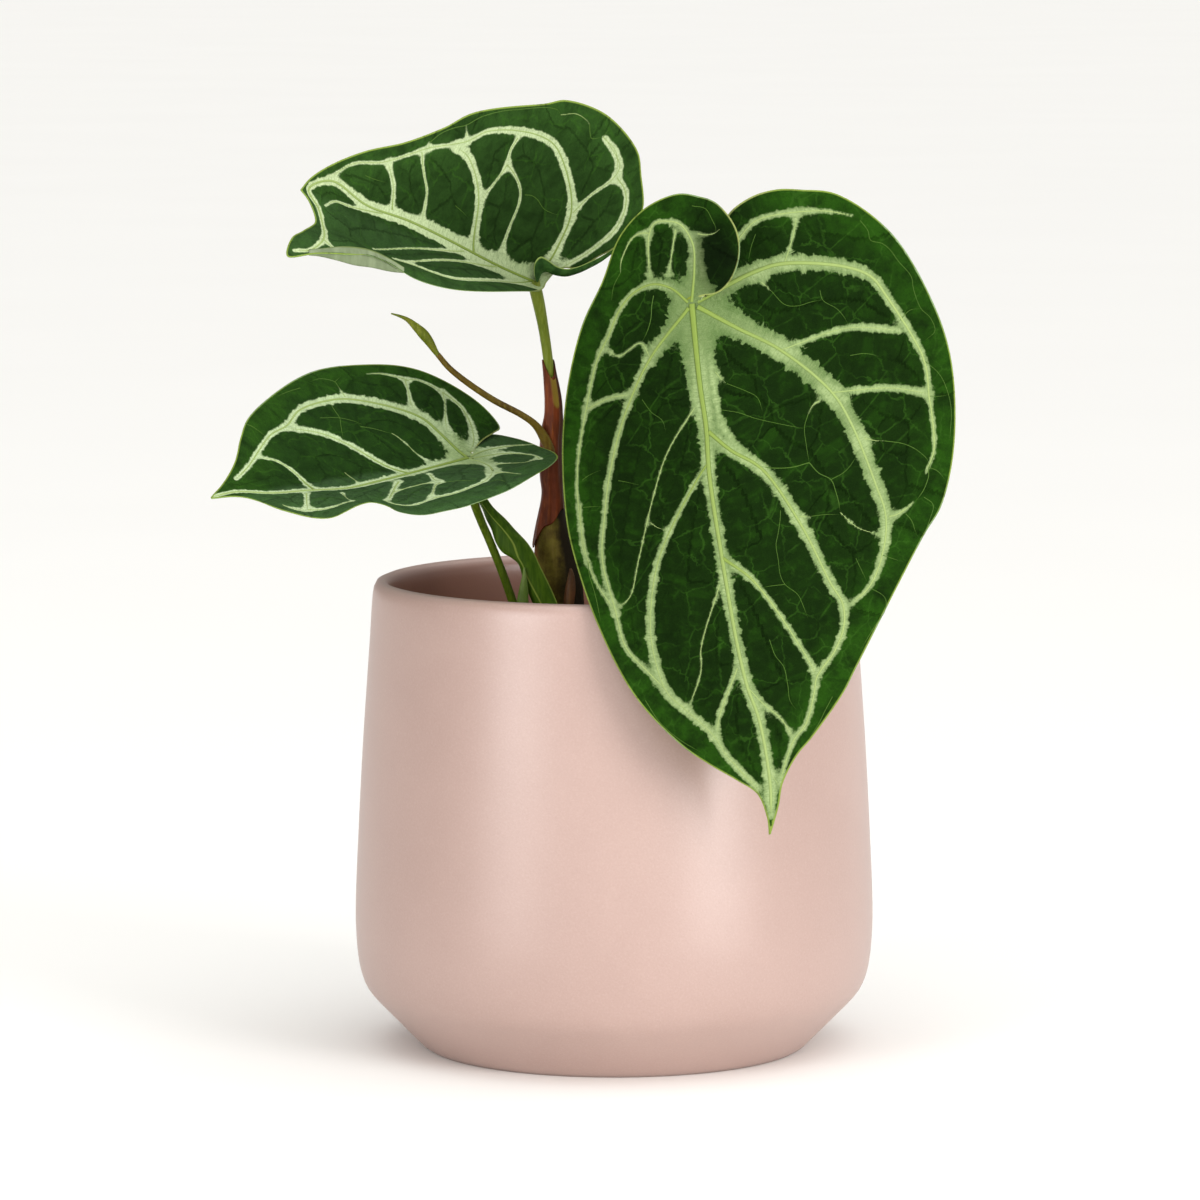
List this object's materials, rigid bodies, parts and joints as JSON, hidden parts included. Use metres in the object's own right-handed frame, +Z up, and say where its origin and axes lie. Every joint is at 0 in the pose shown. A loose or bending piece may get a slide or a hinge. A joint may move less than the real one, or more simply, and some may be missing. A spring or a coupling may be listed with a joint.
{
  "type": "potted anthurium",
  "caption": "Velvet-leaved anthurium with heart-shaped, pale-veined blades on slender stalks, growing in a rounded pot of bark mix.",
  "frame": {"origin": "centre of the pot's foot, on the surface that it stands on", "axes": "+Z up; front is -Y, the side that the large blade faces"},
  "size_m": [0.2071, 0.1665, 0.2737],
  "materials": {
    "pot": "satin dusty pink glaze, very fine grain",
    "potting_mix": "matte brown bark mix with paler crumbs",
    "stem": "green-brown, fibrous",
    "sheath_upper": "dry reddish brown sheath",
    "petiole_top": "smooth olive green",
    "petiole_left": "smooth olive green",
    "petiole_front": "smooth olive green",
    "sheath_strap": "folded green sheath, lined",
    "sheath_sliver": "light green sheath",
    "bract_base": "dry pink-brown bract",
    "young_stalk": "smooth olive brown",
    "young_leaf": "rolled young leaf, satin",
    "blade_front": "velvet dark green with pale grey-green veins",
    "blade_top": "velvet dark green with pale grey-green veins",
    "blade_left": "velvet dark green with pale grey-green veins"
  },
  "bodies": {
    "root": {"pot": "pot", "potting_mix": "potting_mix", "stem": "stem", "sheath_upper": "sheath_upper", "petiole_top": "petiole_top", "petiole_left": "petiole_left", "petiole_front": "petiole_front", "sheath_strap": "sheath_strap", "sheath_sliver": "sheath_sliver", "bract_base": "bract_base", "young_stalk": "young_stalk", "young_leaf": "young_leaf", "blade_front": "blade_front", "blade_top": "blade_top", "blade_left": "blade_left"}
  },
  "joints": []
}
